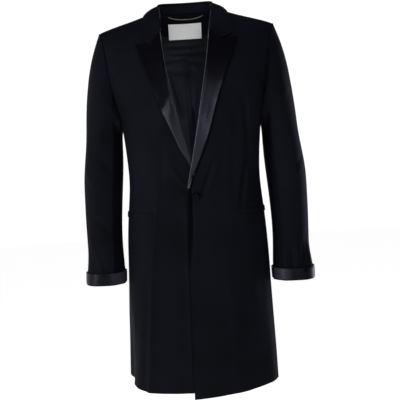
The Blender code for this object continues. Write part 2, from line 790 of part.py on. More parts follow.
def patch(foot, head, left, right, across, up):
    """A spot inside four edges, each a function from 0 to 1."""
    spot = foot(across) * (1 - up) + head(across) * up + left(up) * (1 - across) + right(up) * across
    corners = foot(0.0) * ((1 - across) * (1 - up)) + foot(1.0) * (across * (1 - up))
    corners += head(0.0) * ((1 - across) * up) + head(1.0) * (across * up)
    return spot - corners


def polyline(points, share):
    """A spot along a line of points, each span taking the same share."""
    span = share * (len(points) - 1)
    i = min(int(span), len(points) - 2)
    return points[i].lerp(points[i + 1], span - i)


LAPEL_ROWS = 18
LAPEL_COLUMNS = 7
ROLL_STEPS = 3


def front_edge_points(side):
    """The made front's own edge, from the hem up to the shoulder seam."""
    return [torso(side, *row[0]) for row in front_spots(side)]


FRONT_EDGE_POINTS = {side: front_edge_points(side) for side in SIDE_NAMES}


def fold_centre(side, height):
    """Distance of the lapel's roll from the centre: just clear of the made front's edge."""
    points = FRONT_EDGE_POINTS[side]
    i = 0
    while i < len(points) - 2 and height > points[i + 1].z:
        i += 1
    share = (height - points[i].z) / (points[i + 1].z - points[i].z)
    return mix(points[i].x, points[i + 1].x, share) - ROLL_GAP


def lapel_outline(side):
    gorge = Vector((fold_centre(side, GORGE_Z), GORGE_Z))
    notch, tip = Vector(NOTCH[side]), Vector(PEAK[side])
    foot_z = BREAK_Z + 0.006

    def left(up):
        height = mix(foot_z, GORGE_Z, up)
        return Vector((fold_centre(side, height), height))

    def right(up):
        height = mix(foot_z, tip.y, up)
        edge = Vector((lapel_edge_at[side](height), height))
        return edge + (tip - Vector((lapel_edge_at[side](tip.y), tip.y))) * up ** 8

    def head(across):
        return polyline([gorge, notch, tip], across)

    def foot(across):
        return left(0.0).lerp(right(0.0), across)

    return lambda across, up: patch(foot, head, left, right, across, up)


def lying_height(across, height):
    """Mid cloth of a lapel or collar end above the skin, falling away from the roll."""
    over_skin = roll_height(height) - WOOL_WALL / 2.0
    lying = SATIN_WALL / 2.0 + LYING_GAP
    return mix(over_skin, lying, min(across * 1.25, 1.0) ** 0.8)


def lapel_mid(side):
    """Rows of the lapel's mid cloth: round the roll, then lying on the front."""
    outline = lapel_outline(side)
    rows = []
    for i in range(LAPEL_ROWS):
        up = i / (LAPEL_ROWS - 1)
        row = []
        fold = outline(0.0, up)
        radius = roll_height(fold.y) / 2.0
        for k in range(ROLL_STEPS):
            bend = math.pi * k / ROLL_STEPS
            angle, level = skin_at(side, fold.x - radius * math.sin(bend), fold.y)
            row.append(torso_spot(side, angle, level, radius * (1.0 - math.cos(bend)) - WOOL_WALL / 2.0))
        for j in range(LAPEL_COLUMNS):
            across = j / (LAPEL_COLUMNS - 1)
            spot = outline(across, up)
            angle, level = skin_at(side, spot.x, spot.y)
            row.append(torso_spot(side, angle, level, lying_height(across, fold.y)))
        rows.append(row)
    shrink = GORGE_GAP / (rows[-1][0] - rows[-2][0]).length
    rows[-1] = [here.lerp(below, shrink) for here, below in zip(rows[-1], rows[-2])]
    return rows


def grid_normals(rows, ring=False):
    """Unit normals of a grid of points, from its own rows and columns."""
    normals = []
    for i, row in enumerate(rows):
        below, above = rows[max(i - 1, 0)], rows[min(i + 1, len(rows) - 1)]
        line = []
        for j in range(len(row)):
            before = row[j - 1] if ring or j > 0 else row[j]
            after = row[(j + 1) % len(row)] if ring or j < len(row) - 1 else row[j]
            line.append((after - before).cross(above[j] - below[j]).normalized())
        normals.append(line)
    return normals


def thicken(rows, wall):
    """Outer and inner points of a wall about a mid surface."""
    normals = grid_normals(rows)
    outer = [[p + n * (wall / 2.0) for p, n in zip(*pair)] for pair in zip(rows, normals)]
    inner = [[p - n * (wall / 2.0) for p, n in zip(*pair)] for pair in zip(rows, normals)]
    return outer, inner


def yoke_skin_over(x, y):
    """Angle and level of the yoke's skin over a spot of its plan."""
    is_front = y < 0.0
    level = level_before_ridge(is_front, x, max(abs(y), HALF_SEAM))
    return angle_at(is_front, level, x), level


def collar_frame(share):
    """The collar's fold line at a share of the way round, and its up and outward ways."""
    fold = Vector([axis(share) for axis in collar_fold_at])
    low, high = max(share - 0.02, 0.0), min(share + 0.02, 1.0)
    along = Vector([axis(high) - axis(low) for axis in collar_fold_at]).normalized()
    level_out = Vector((fold.x * 0.55, fold.y, 0.0)).normalized()
    if fold.y < 0.02:
        level_out = Vector((1.0, 0.0, 0.0)).lerp(level_out, ramp(fold.y, -0.02, 0.06))
    front_out = Vector((0.15, -0.88, 0.42))
    out = front_out.lerp(level_out, ramp(share, 0.0, 0.30)).normalized()
    out = (out - along * out.dot(along)).normalized()
    return fold, out.cross(along).normalized(), out


def gorge_line(side):
    """The collar's front end: along the gorge to the notch, then out to its corner."""
    corner = Vector(COLLAR_CORNER[side])
    notch = Vector(NOTCH[side])
    gorge = Vector((fold_centre(side, GORGE_Z), GORGE_Z))
    return [gorge, gorge.lerp(notch, 0.5), notch, notch.lerp(corner, 0.5), corner]


def collar_end(side):
    """Mid points of the collar's front end, matching the lapel's roll and lie."""
    row = []
    radius = roll_height(GORGE_Z) / 2.0
    fold_x = fold_centre(side, GORGE_Z)
    for k in range(ROLL_STEPS):
        bend = math.pi * k / ROLL_STEPS
        angle, level = skin_at(side, fold_x - radius * math.sin(bend), GORGE_Z)
        row.append(torso_spot(side, angle, level, radius * (1.0 - math.cos(bend)) - WOOL_WALL / 2.0))
    shares = (0.0, 0.25, 0.5, 0.62, 0.75)
    for spot, across in zip(gorge_line(side), shares):
        angle, level = skin_at(side, spot.x, spot.y)
        row.append(torso_spot(side, angle, level, lying_height(across, GORGE_Z)))
    return row


def clear_of_skin(side, point, clearance):
    """The point, pushed out where it lies nearer to the coat's skin than a clearance."""
    for _ in range(2):
        if point.y < -0.02 and point.z < ridge_at(point.x) - 0.004:
            angle, level = skin_at(side, point.x, point.z)
        elif abs(point.y) < 0.09 and point.z > -0.03:
            angle, level = yoke_skin_over(point.x, point.y)
        else:
            return point
        normal = torso_normal(side, angle, level)
        short = clearance - (point - torso(side, angle, level)).dot(normal)
        if short > 0.0:
            point = point + normal * short
    return point


def collar_row(side, share):
    """Mid points of the collar's fall across one station, from inside its fold to its edge."""
    fold, up, out = collar_frame(share)
    radius = COLLAR_FOLD_RADIUS
    row = [fold - out * radius - up * STAND_TUCK]
    for k in range(1, ROLL_STEPS):
        bend = math.pi * k / ROLL_STEPS
        row.append(fold - out * radius * math.cos(bend) + up * radius * math.sin(bend))
    turned = fold + out * radius
    angle, level = yoke_skin_over(*[axis(share) for axis in collar_edge_at])
    lying = WOOL_WALL / 2.0 + COLLAR_GAP
    edge = torso_spot(side, angle, level, lying)
    bulge = (up + out * 0.6) * COLLAR_BULGE
    for step in (0.0, 0.30, 0.58, 0.80, 1.0):
        spot = turned.lerp(edge, step) + bulge * 4.0 * step * (1.0 - step)
        row.append(clear_of_skin(side, spot, lying))
    ends = collar_end(side)
    blend = ramp(share, 0.26, 0.0)
    blended = [spot.lerp(end, blend) for spot, end in zip(row, ends)]
    if share > 0.0:
        blended[ROLL_STEPS:] = [clear_of_skin(side, spot, lying) for spot in blended[ROLL_STEPS:]]
    return blended


def collar_rows(side):
    shares = [i / (COLLAR_STATIONS - 1) for i in range(COLLAR_STATIONS)]
    rows = [collar_row(side, share) for share in shares]
    shrink = GORGE_GAP / (rows[0][3] - rows[1][3]).length
    rows[0] = [here.lerp(after, shrink) for here, after in zip(rows[0], rows[1])]
    return rows


def turn_about_neck(point):
    """Degrees round the neck: negative in front of the shoulder seams, 90 at the nape."""
    return math.degrees(math.atan2(point.y / NECK_BACK_DEPTH, point.x / NECK_HALF_WIDTH))


def neck_seam_points(side):
    """The made panels' neck edge from the gorge round to the nape, each with its normal."""
    front = [row[0] for row in front_spots(side)[-YOKE_ROWS:]]
    back = back_spots(side)[-1][SHOULDER_COLUMN + 1:]
    return [(torso(side, *spot), torso_normal(side, *spot)) for spot in front + back]


def neck_seam_spot(points, turn):
    """A spot of the made neck edge at a turn about the neck, and the normal there."""
    turns = [turn_about_neck(point) for point, _ in points]
    i = 0
    while i < len(turns) - 2 and turn > turns[i + 1]:
        i += 1
    share = min(max((turn - turns[i]) / (turns[i + 1] - turns[i]), 0.0), 1.0)
    (start, start_normal), (end, end_normal) = points[i], points[i + 1]
    return start.lerp(end, share), start_normal.lerp(end_normal, share).normalized()


def stand_rows(side):
    """Mid points of the collar's stand, from the neck seam up to the inside of the fold."""
    rows = []
    seam_points = neck_seam_points(side)
    for i in range(COLLAR_STATIONS):
        share = mix(STAND_START, 1.0, i / (COLLAR_STATIONS - 1))
        fold, up, out = collar_frame(share)
        top = collar_row(side, share)[0] - up * STAND_GAP
        near_top = top - up * 0.003
        seam, normal = neck_seam_spot(seam_points, turn_about_neck(fold))
        inward = (out - normal * out.dot(normal)).normalized() * -1.0
        foot = seam + inward * (WOOL_WALL / 2.0 + 2.0 * SEAM_GAP) + normal * SEAM_GAP
        middle = foot.lerp(near_top, 0.5) - out * 0.001
        rows.append([foot, middle, near_top, top])
    return rows


# Making the bodies

def settle(point):
    """The worn coat has slipped a little sideways and its left shoulder is held higher."""
    tilt = SHOULDER_TILT * point.x * ramp(point.z, -0.50, -0.15)
    return Vector((point.x - drift_at(point.z), point.y, point.z + tilt))


def finish(name):
    colour, roughness = FINISHES[name]
    material = bpy.data.materials.get(name)
    if material is None:
        material = bpy.data.materials.new(name)
        material.use_nodes = True
        shader = material.node_tree.nodes["Principled BSDF"]
        shader.inputs["Base Color"].default_value = colour
        shader.inputs["Roughness"].default_value = roughness
        shader.inputs["Metallic"].default_value = 0.0
    return material


def mirrored(rows, side):
    return [[Vector((side * p.x, p.y, p.z)) for p in row] for row in rows]


def both_halves(left_rows, right_rows):
    """Rows across the whole coat from two halves whose last row is the centre's."""
    return mirrored(right_rows, RIGHT)[:-1] + list(reversed(left_rows))


def add_object(name, shape, material):
    bmesh.ops.recalc_face_normals(shape, faces=shape.faces)
    mesh = bpy.data.meshes.new(name)
    shape.to_mesh(mesh)
    shape.free()
    mesh.materials.append(finish(material))
    mesh.shade_smooth()
    mesh.set_sharp_from_angle(angle=math.radians(50.0))
    body = bpy.data.objects.new(name, mesh)
    bpy.context.scene.collection.objects.link(body)
    return body


def add_quad(shape, a, b, c, d):
    """Two triangles across the shorter diagonal, so that layers of cloth bend alike."""
    if (a.co - c.co).length <= (b.co - d.co).length:
        shape.faces.new((a, b, c))
        shape.faces.new((a, c, d))
    else:
        shape.faces.new((a, b, d))
        shape.faces.new((b, c, d))


def cloth_body(name, outer, inner, material, ring=False):
    """A closed wall between two grids of points: both skins and a rim round every edge."""
    shape = bmesh.new()
    skins = []
    for rows in (outer, inner):
        skins.append([[shape.verts.new(settle(point)) for point in row] for row in rows])
    count = len(outer[0])
    spans = count if ring else count - 1
    for skin in skins:
        for low, high in zip(skin, skin[1:]):
            for j in range(spans):
                k = (j + 1) % count
                add_quad(shape, low[j], low[k], high[k], high[j])
    for out_row, in_row in ((skins[0][0], skins[1][0]), (skins[0][-1], skins[1][-1])):
        for j in range(spans):
            k = (j + 1) % count
            shape.faces.new((out_row[j], out_row[k], in_row[k], in_row[j]))
    if not ring:
        for j in (0, count - 1):
            for i in range(len(outer) - 1):
                shape.faces.new((skins[0][i][j], skins[0][i + 1][j], skins[1][i + 1][j], skins[1][i][j]))
    return add_object(name, shape, material)


def panel(name, side, spots):
    outer, inner = panel_skin(side, spots)
    return cloth_body(name, mirrored(outer, side), mirrored(inner, side), "black_wool_barathea")


def build_panels():
    for side, word in SIDE_NAMES.items():
        panel("front_" + word, side, front_spots(side))
        panel("side_" + word, side, side_spots(side))
        panel("back_" + word, side, back_spots(side))


def build_sleeves():
    for side, word in SIDE_NAMES.items():
        sleeve = Sleeve(side)
        top, under = sleeve_turns(sleeve)
        for part, turns in (("top", top), ("under", under)):
            outer, inner = sleeve_piece(sleeve, turns)
            name = "sleeve_%s_%s" % (word, part)
            cloth_body(name, mirrored(outer, side), mirrored(inner, side), "black_wool_barathea")
        outer, inner = cuff_band(sleeve)
        cloth_body("cuff_" + word, mirrored(outer, side), mirrored(inner, side), "black_silk_satin", ring=True)


def build_lapels():
    for side, word in SIDE_NAMES.items():
        outer, inner = thicken(lapel_mid(side), SATIN_WALL)
        cloth_body("lapel_" + word, mirrored(outer, side), mirrored(inner, side), "black_silk_satin")


def build_collar():
    fall = both_halves(collar_rows(LEFT), collar_rows(RIGHT))
    cloth_body("collar_fall", *thicken(fall, WOOL_WALL), "black_wool_barathea")
    stand = both_halves(stand_rows(LEFT), stand_rows(RIGHT))
    cloth_body("collar_stand", *thicken(stand, WOOL_WALL), "black_wool_barathea")


MEETING_ROW = len(SKIRT_SHARES) + 3
FACING_COLUMN = 4
FACING_TOP_SHARE = 0.8
LINING_HEM_SHARE = 0.6
INSIDE_GAP = 0.0005
PLEAT_DEPTH = 0.009


def inside_grid(sink, first_column):
    """The made back's points moved inwards, row by row across both halves."""
    rows = []
    for row_left, row_right in zip(back_spots(LEFT), back_spots(RIGHT)):
        left = [torso_spot(LEFT, angle, level, -sink) for angle, level in row_left[first_column:]]
        right = [torso_spot(RIGHT, angle, level, -sink) for angle, level in row_right[first_column:]]
        centre = left[-1].copy()
        centre.x = 0.0
        right = [Vector((-p.x, p.y, p.z)) for p in right[:-1]]
        rows.append(right + [centre] + list(reversed(left[:-1])))
    return rows


def between(low, high, share):
    return [a.lerp(b, share) for a, b in zip(low, high)]


def with_pleat(rows):
    """Adds the lining's ease pleat: a soft fold down the centre, deepest under the neck."""
    pleated = []
    middle = len(rows[0]) // 2
    for row in rows:
        centre = row[middle]
        deep = PLEAT_DEPTH * ramp(centre.z, -0.85, -0.28) * ramp(centre.z, -0.045, -0.10)
        flanks = [centre.lerp(row[middle + step], 0.45) for step in (-1, 1)]
        crest = centre + Vector((0.0, -deep, 0.0))
        pleated.append(row[:middle] + [flanks[0], crest, flanks[1]] + row[middle + 1:])
    return pleated


def inside_layer(sink, first_column, lowest, highest, low_share, high_share):
    """Rows of one layer inside the back, cut between the back's own rows at both ends."""
    rows = inside_grid(sink, first_column)
    foot = between(rows[lowest], rows[lowest + 1], low_share)
    head = between(rows[highest - 1], rows[highest], high_share)
    return [foot] + rows[lowest + 1:highest] + [head]


def build_inside():
    """The back lining with its pleat, and above it the half-moon facing of the neck."""
    top = len(SKIRT_SHARES) - 1 + YOKE_ROWS
    depth = WOOL_WALL + INSIDE_GAP
    lining, facing = [], []
    for wall in (0.0, LINING_WALL):
        rows = inside_layer(depth + wall, 1, 0, MEETING_ROW, LINING_HEM_SHARE, 0.97)
        lining.append(with_pleat(rows))
    for wall in (0.0, WOOL_WALL):
        facing.append(inside_layer(depth + wall, FACING_COLUMN, MEETING_ROW, top, 0.0, FACING_TOP_SHARE))
    cloth_body("back_lining", *lining, "navy_lining_satin")
    cloth_body("neck_facing", *facing, "black_wool_barathea")


def on_grid(rows, x, height):
    """The point of a made grid of cloth at a distance across and a height."""
    column = []
    for row in rows:
        j = 0
        while j < len(row) - 2 and x > row[j + 1].x:
            j += 1
        share = (x - row[j].x) / (row[j + 1].x - row[j].x)
        column.append(row[j].lerp(row[j + 1], share))
    i = 0
    while i < len(column) - 2 and height > column[i + 1].z:
        i += 1
    share = (height - column[i].z) / (column[i + 1].z - column[i].z)
    return column[i].lerp(column[i + 1], share)


def build_label():
    """A bare ribbon label on the facing, made from the facing's points."""
    depth = 2.0 * WOOL_WALL + INSIDE_GAP
    facing = inside_grid(depth, FACING_COLUMN)[MEETING_ROW:]
    skins = []
    for lift in (LABEL_GAP, LABEL_GAP + LABEL_WALL):
        rows = []
        for i in range(LABEL_ROWS):
            row = []
            for j in range(LABEL_COLUMNS):
                x = LABEL_CENTRE[0] + LABEL_WIDTH * (j / (LABEL_COLUMNS - 1) - 0.5)
                height = LABEL_CENTRE[1] + LABEL_HEIGHT * (i / (LABEL_ROWS - 1) - 0.5)
                normal = torso_normal(LEFT, *back_skin_at(x, height))
                row.append(on_grid(facing, x, height) - normal * lift)
            rows.append(row)
        skins.append(rows)
    cloth_body("neck_label", *skins, "white_woven_ribbon")


def build_loop():
    """The hanger loop: a corded strip held at both ends of the neck seam, hanging between."""
    line = bpy.data.curves.new("hanger_loop", "CURVE")
    line.dimensions = "3D"
    line.bevel_depth = LOOP_DIAMETER / 2.0
    line.bevel_resolution = 1
    line.use_fill_caps = True
    spline = line.splines.new("POLY")
    spline.points.add(LOOP_POINTS - 1)
    for i in range(LOOP_POINTS):
        across = 2.0 * i / (LOOP_POINTS - 1) - 1.0
        x = LOOP_HALF_WIDTH * across
        height = LOOP_MIDDLE_Z + LOOP_RISE * across * across
        angle, level = back_skin_at(x, height)
        sink = 2.0 * WOOL_WALL + INSIDE_GAP + mix(LOOP_STAND_OFF, LOOP_END_SEAT, abs(across) ** 3)
        spot = settle(torso_spot(LEFT, angle, level, -sink))
        spline.points[i].co = (spot.x, spot.y, spot.z, 1.0)
    line.materials.append(finish("olive_gold_braid"))
    loop = bpy.data.objects.new("hanger_loop", line)
    bpy.context.scene.collection.objects.link(loop)


def build_pockets():
    """Two narrow jets either side of a slit, on the front and round onto the side body."""
    level = POCKET_Z - CHEST_Z
    start = angle_at(True, level, POCKET_START_X)
    angles = [mix(start, POCKET_END_ANGLE, i / POCKET_SPANS) for i in range(POCKET_SPANS + 1)]
    for side, word in SIDE_NAMES.items():
        outer, inner = [], []
        for place, rise in POCKET_JETS:
            here = level + POCKET_HEIGHT * place
            outer.append([torso_spot(side, angle, here, POCKET_GAP + rise) for angle in angles])
            inner.append([torso_spot(side, angle, here, POCKET_GAP) for angle in angles])
        cloth_body("pocket_" + word, mirrored(outer, side), mirrored(inner, side), "black_wool_barathea")


def build_button():
    """A covered button: a turned dome with a rounded rim, on the left front's edge."""
    angle, level = skin_at(LEFT, BUTTON_X, BUTTON_Z)
    seat = torso_spot(LEFT, angle, level, 0.0012)
    normal = torso_normal(LEFT, angle, level)
    radius = BUTTON_DIAMETER / 2.0
    profile = [(0.0, 0.0), (0.80, 0.0), (0.97, 0.22), (1.0, 0.45), (0.92, 0.72), (0.62, 0.93), (0.0, 1.0)]
    shape = bmesh.new()
    points = [shape.verts.new((radius * r, 0.0, BUTTON_THICKNESS * h)) for r, h in profile]
    edges = [shape.edges.new(pair) for pair in zip(points, points[1:])]
    bmesh.ops.spin(shape, geom=points + edges, axis=(0, 0, 1), cent=(0, 0, 0), steps=20,
                   angle=2.0 * math.pi, use_merge=True)
    bmesh.ops.remove_doubles(shape, verts=shape.verts, dist=0.00001)
    turn = normal.to_track_quat("Z", "Y").to_matrix().to_4x4()
    bmesh.ops.transform(shape, matrix=turn, verts=shape.verts)
    bmesh.ops.translate(shape, vec=settle(seat), verts=shape.verts)
    add_object("button", shape, "black_silk_satin")


def main():
    for old in list(bpy.data.objects):
        bpy.data.objects.remove(old, do_unlink=True)
    build_panels()
    build_sleeves()
    build_lapels()
    build_collar()
    build_inside()
    build_label()
    build_loop()
    build_pockets()
    build_button()


main()
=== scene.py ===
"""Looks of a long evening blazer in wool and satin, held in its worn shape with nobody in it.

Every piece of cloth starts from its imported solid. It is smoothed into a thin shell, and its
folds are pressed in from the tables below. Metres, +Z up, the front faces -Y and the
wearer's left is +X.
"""

import math

import bmesh
import bpy
import numpy as np
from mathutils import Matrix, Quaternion, Vector


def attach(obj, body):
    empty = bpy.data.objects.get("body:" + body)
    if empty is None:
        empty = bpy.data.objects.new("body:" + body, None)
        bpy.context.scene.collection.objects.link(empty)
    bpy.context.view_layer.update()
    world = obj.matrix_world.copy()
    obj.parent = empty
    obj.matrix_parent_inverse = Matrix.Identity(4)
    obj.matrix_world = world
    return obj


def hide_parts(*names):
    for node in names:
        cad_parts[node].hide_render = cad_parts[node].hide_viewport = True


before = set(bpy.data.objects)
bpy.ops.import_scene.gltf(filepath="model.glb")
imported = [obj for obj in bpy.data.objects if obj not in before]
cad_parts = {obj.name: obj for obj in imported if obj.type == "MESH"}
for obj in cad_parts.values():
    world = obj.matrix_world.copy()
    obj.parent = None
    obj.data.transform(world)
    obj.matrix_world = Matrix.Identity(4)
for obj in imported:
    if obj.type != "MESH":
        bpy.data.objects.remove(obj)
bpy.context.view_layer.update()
MM = 0.001

# Spacing of the weaves in millimetres; the real ones are about half as wide and wouldn't show
TWILL_SPACING = 1.5
SATIN_SPACING = 0.9
RIBBON_SPACING = 0.8
BRAID_SPACING = 2.4

# The satin's own colour, under its shine
SATIN_BLACK = "050508"

# node, finish, rounding levels, flat width, flat length, flat area, how it is held, on what
CLOTH = (
    ("lapel_left", "satin", 3, 0.088, 0.396, 0.0178, "folded", "front_left"),
    ("lapel_right", "satin", 3, 0.085, 0.396, 0.0143, "folded", "front_right"),
    ("front_left", "wool", 3, 0.246, 1.020, 0.194, "hung", "side_left"),
    ("front_right", "wool", 3, 0.244, 1.003, 0.187, "hung", "side_right"),
    ("side_left", "wool", 3, 0.136, 0.664, 0.080, "hung", "back_left"),
    ("side_right", "wool", 3, 0.137, 0.664, 0.080, "hung", "back_right"),
    ("back_left", "wool", 3, 0.274, 1.003, 0.185, "hung", "back_right"),
    ("back_right", "wool", 3, 0.274, 1.003, 0.185, "hung", "back_left"),
    ("sleeve_left_top", "wool", 3, 0.393, 0.650, 0.134, "hung", "back_left"),
    ("sleeve_left_under", "wool", 3, 0.232, 0.489, 0.053, "hung", "sleeve_left_top"),
    ("sleeve_right_top", "wool", 3, 0.393, 0.641, 0.132, "hung", "back_right"),
    ("sleeve_right_under", "wool", 3, 0.232, 0.480, 0.052, "hung", "sleeve_right_top"),
    ("collar_fall", "wool", 2, 0.077, 0.587, 0.0295, "folded", "back_left"),
    ("collar_stand", "wool", 2, 0.023, 0.344, 0.0061, "folded", "collar_fall"),
    ("cuff_left", "cuff_satin_painted_reflection", 3, 0.333, 0.028, 0.0090, "folded", "sleeve_left_top"),
    ("cuff_right", "cuff_satin_painted_reflection", 3, 0.333, 0.028, 0.0090, "folded", "sleeve_right_top"),
    ("pocket_left", "wool", 2, 0.153, 0.0125, 0.0019, "laid", "front_left"),
    ("pocket_right", "wool", 2, 0.153, 0.0125, 0.0019, "laid", "front_right"),
    ("back_lining", "lining", 3, 0.392, 0.860, 0.278, "hung", "back_left"),
    ("neck_facing", "wool", 2, 0.295, 0.105, 0.017, "laid", "back_left"),
    ("neck_label", "ribbon", 2, 0.088, 0.044, 0.0036, "laid", "neck_facing"),
)

# Folds of the body: start turn, start height, end turn, end height, half width, height.
# A turn is in degrees round the body from its front, and the wearer's left is positive.
BODY_RADIUS = 0.15
BODY_FOLDS = (
    (5.5, -0.432, 22.5, -0.345, 0.0055, -0.0055),
    (10.5, -0.436, 28.0, -0.352, 0.0065, 0.0028),
    (-14.0, -0.415, -33.0, -0.345, 0.009, 0.0034),
    (-9.0, -0.430, -27.0, -0.385, 0.007, -0.0028),
    (-34.0, -0.300, -40.0, -0.420, 0.009, -0.0022),
    (-43.0, -0.370, -48.5, -0.980, 0.006, 0.0052),
    (-48.0, -0.400, -54.0, -0.980, 0.008, -0.0036),
    (-66.0, -0.700, -70.0, -0.960, 0.008, 0.0030),
    (-78.0, -0.640, -84.0, -0.960, 0.010, -0.0030),
    (-6.8, -0.410, -9.8, -0.600, 0.0060, -0.0115),
    (-13.6, -0.430, -12.5, -0.960, 0.005, 0.0020),
    (48.8, -0.190, 57.5, -0.370, 0.0055, -0.0090),
    (58.5, -0.300, 46.5, -0.480, 0.0055, -0.0090),
    (52.0, -0.190, 60.7, -0.370, 0.0030, 0.0030),
    (61.7, -0.300, 49.7, -0.480, 0.0030, 0.0030),
    (43.0, -0.220, 43.0, -0.560, 0.012, -0.0034),
    (60.0, -0.430, 57.0, -0.720, 0.012, -0.0030),
    (70.0, -0.600, 73.0, -0.960, 0.010, 0.0030),
    (28.0, -0.560, 31.0, -0.960, 0.012, 0.0022),
    (41.0, -0.620, 44.0, -0.960, 0.010, -0.0022),
    (-24.0, -0.180, -38.0, -0.300, 0.012, 0.0024),
    (26.0, -0.190, 40.0, -0.310, 0.012, 0.0022),
    (112.0, -0.420, 105.0, -0.960, 0.012, 0.0024),
    (140.0, -0.520, 138.0, -0.960, 0.012, -0.0024),
    (163.0, -0.560, 166.0, -0.960, 0.014, 0.0022),
    (-116.0, -0.430, -110.0, -0.960, 0.012, 0.0022),
    (-143.0, -0.500, -140.0, -0.960, 0.012, -0.0024),
    (-165.0, -0.580, -163.0, -0.960, 0.014, 0.0020),
    (125.0, -0.360, 165.0, -0.395, 0.010, -0.0022),
    (-128.0, -0.350, -166.0, -0.400, 0.010, -0.0022),
    (150.0, -0.300, 172.0, -0.335, 0.009, -0.0016),
)

# Folds of each sleeve, as above; a turn of 0 faces out from the body and 90 faces the front
SLEEVE_RADIUS = 0.055
LEFT_SLEEVE_FOLDS = (
    (70.0, -0.175, 112.0, -0.255, 0.008, 0.0018),
    (95.0, -0.205, 140.0, -0.290, 0.007, -0.0018),
    (28.0, -0.330, 84.0, -0.385, 0.007, -0.0018),
    (46.0, -0.372, 118.0, -0.420, 0.007, 0.0016),
    (40.0, -0.555, 34.0, -0.632, 0.004, 0.0030),
    (60.0, -0.560, 58.0, -0.632, 0.004, -0.0036),
    (76.0, -0.570, 78.0, -0.632, 0.004, 0.0030),
    (92.0, -0.565, 92.0, -0.630, 0.004, -0.0034),
    (110.0, -0.580, 106.0, -0.632, 0.004, 0.0028),
    (-60.0, -0.345, -130.0, -0.400, 0.009, -0.0020),
    (-70.0, -0.470, -120.0, -0.520, 0.009, 0.0016),
)
RIGHT_SLEEVE_FOLDS = (
    (74.0, -0.160, 118.0, -0.230, 0.008, 0.0018),
    (60.0, -0.310, 128.0, -0.378, 0.007, -0.0018),
    (34.0, -0.350, 96.0, -0.425, 0.007, 0.0018),
    (58.0, -0.460, 120.0, -0.530, 0.008, -0.0016),
    (44.0, -0.520, 86.0, -0.610, 0.007, 0.0018),
    (72.0, -0.570, 112.0, -0.635, 0.006, -0.0016),
    (-58.0, -0.335, -128.0, -0.395, 0.009, -0.0020),
    (-76.0, -0.480, -122.0, -0.535, 0.009, 0.0016),
)

# Slack of hanging cloth, as waves: radians per metre across and up, and the phase at 0
SLACK_WAVES = ((61.0, 9.0, 0.4), (37.0, -17.0, 2.1), (23.0, 31.0, 4.0), (83.0, -6.0, 1.2))

# Body: slack, the heights between which folds fade in below the shoulders, and the distances
# round the body between which the slack fades in from the middle of the back
BODY_SLACK = 0.0011
BODY_CALM = (-0.06, -0.20)
BACK_CALM = (0.44, 0.38)
SEAM_LET_OUT = 0.0010
POCKET_SINK = 0.0003

# Sleeves: slack and how much closer its waves lie across and up, the heights between which
# folds fade in, and the turns in radians between which the slack fades in from the body side
SLEEVE_SLACK, CLOSER_ACROSS, CLOSER_UP = 0.0010, 1.6, 1.4
SLEEVE_CALM = (-0.09, -0.19)
SLEEVE_INSIDE_CALM = (3.1, 2.6)

# How far the outer side of the left (1) and right (2) sleeve stands out more below the elbow,
# and again at the cuff
SLEEVE_FLARE = {1: 0.0045, 2: 0.0020}
ELBOW_FADE, WRIST_FADE = (-0.26, -0.40), (-0.56, -0.64)

# Satin of the cuffs turns paler, a painted reflection, from this distance out from the coat's middle to
# this one
CUFF_MIDDLE, CUFF_INSIDE = 0.228, 0.200

# Lapels: how much narrower than its solid the left one is cut, at most which share of its
# width that may be and where it fades in, and how far an outer edge stands off the chest
LAPEL_SIDES = {"lapel_left": 1.0, "lapel_right": -1.0}
LAPEL_TRIM = {"lapel_left": 0.0060, "lapel_right": 0.0}
TRIM_SHARE = 0.3
TRIM_FADE = (-0.085, -0.15)
LAPEL_LIFT = 0.0022

# Heights where a piece's edges are read, the band read at each, how far past the coat's
# middle a piece may reach, and the least width taken for a lapel
EDGE_LEVELS = np.arange(-0.46, 0.06, 0.004)
EDGE_BAND = 0.003
PAST_MIDDLE = 0.04
LEAST_WIDTH = 0.004

# Groove beside the left lapel: how far off the edge, depth, half width, and fades at its ends
UNDERCUT_SET, UNDERCUT_DEPTH, UNDERCUT_WIDTH = 0.0018, 0.0055, 0.0024
UNDERCUT_TOP, UNDERCUT_FOOT = (-0.045, -0.065), (-0.456, -0.440)

# Painted highlight, a pale strip along a roll: its width, and how far forward and past the middle it may
# lie
ROLL_STRIP = 0.0020
COLLAR_FRONT, ROLL_FRONT, ROLL_PAST_MIDDLE = -0.005, -0.01, 0.03

# A lapel's cut edge: beyond this share of its width, where it faces outward less than this
CUT_SHARE, CUT_FACING = 0.6, 0.55

# Lining: depth and half width of its pleat, where the pleat and the wrinkles fade in
PLEAT_DROP, PLEAT_HALF_WIDTH = 0.0024, 0.011
PLEAT_FADE, WRINKLE_FADE = (-0.60, -0.28), (-0.030, -0.046)

# Shells: welding distance, limits for joining triangles into quads, and the angles from which
# a rim is creased and an edge is shaded sharp
WELD = 0.00002
QUAD_FACES, QUAD_SHAPES = 0.7, 3.0
RIM_ANGLE, SHARP_ANGLE = math.radians(50.0), math.radians(40.0)

# The sleeves' middle lines: height, left sleeve x, right sleeve x, y
SLEEVE_LINE = (
    (-0.665, 0.229, -0.235, -0.035),
    (-0.575, 0.229, -0.235, -0.025),
    (-0.490, 0.230, -0.236, -0.012),
    (-0.410, 0.228, -0.234, 0.000),
    (-0.330, 0.223, -0.229, 0.006),
    (-0.240, 0.218, -0.224, 0.006),
    (-0.100, 0.200, -0.208, 0.004),
    (0.000, 0.185, -0.193, 0.002),
)

